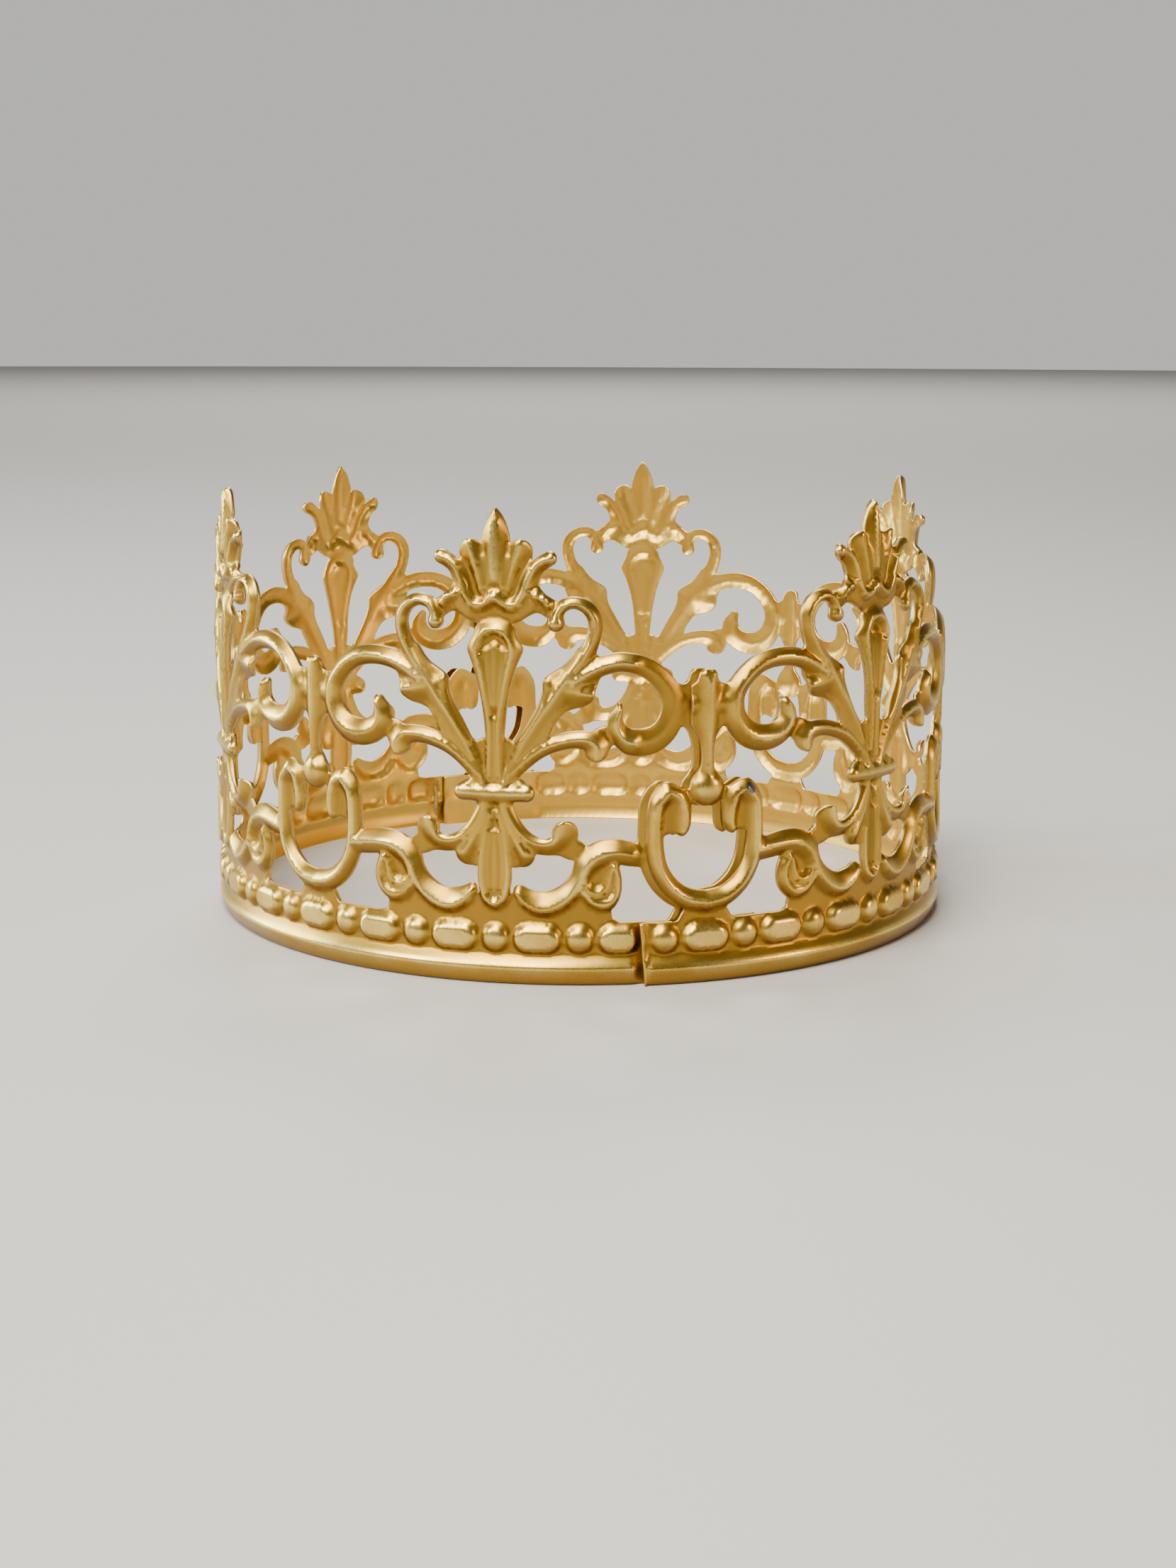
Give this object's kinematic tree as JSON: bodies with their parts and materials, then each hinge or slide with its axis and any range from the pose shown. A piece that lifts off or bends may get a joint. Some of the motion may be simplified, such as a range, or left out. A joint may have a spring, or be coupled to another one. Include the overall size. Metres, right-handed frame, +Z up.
{
  "type": "crown",
  "caption": "Round openwork metal crown: a beaded band carries scrolls, rings and palmette points, with an open top.",
  "frame": {"origin": "centre of the base, on the plane that the crown stands on", "axes": "+Z up along the crown's axis, -Y towards the front, where the strips' visible lap is just right of the front fleuron"},
  "size_m": [0.1402, 0.1392, 0.0801],
  "materials": {
    "antique_gold": "satin antique gold plating with fine grain and rubbed edges",
    "plated_solder": "soft solder, thinly plated"
  },
  "bodies": {
    "root": {"front_right_strip": "antique_gold", "front_left_strip": "antique_gold", "solder_band_front": "plated_solder", "solder_ring_front": "plated_solder", "solder_link_front": "plated_solder", "solder_band_back": "plated_solder", "solder_ring_back": "plated_solder", "solder_link_back": "plated_solder"}
  },
  "joints": []
}
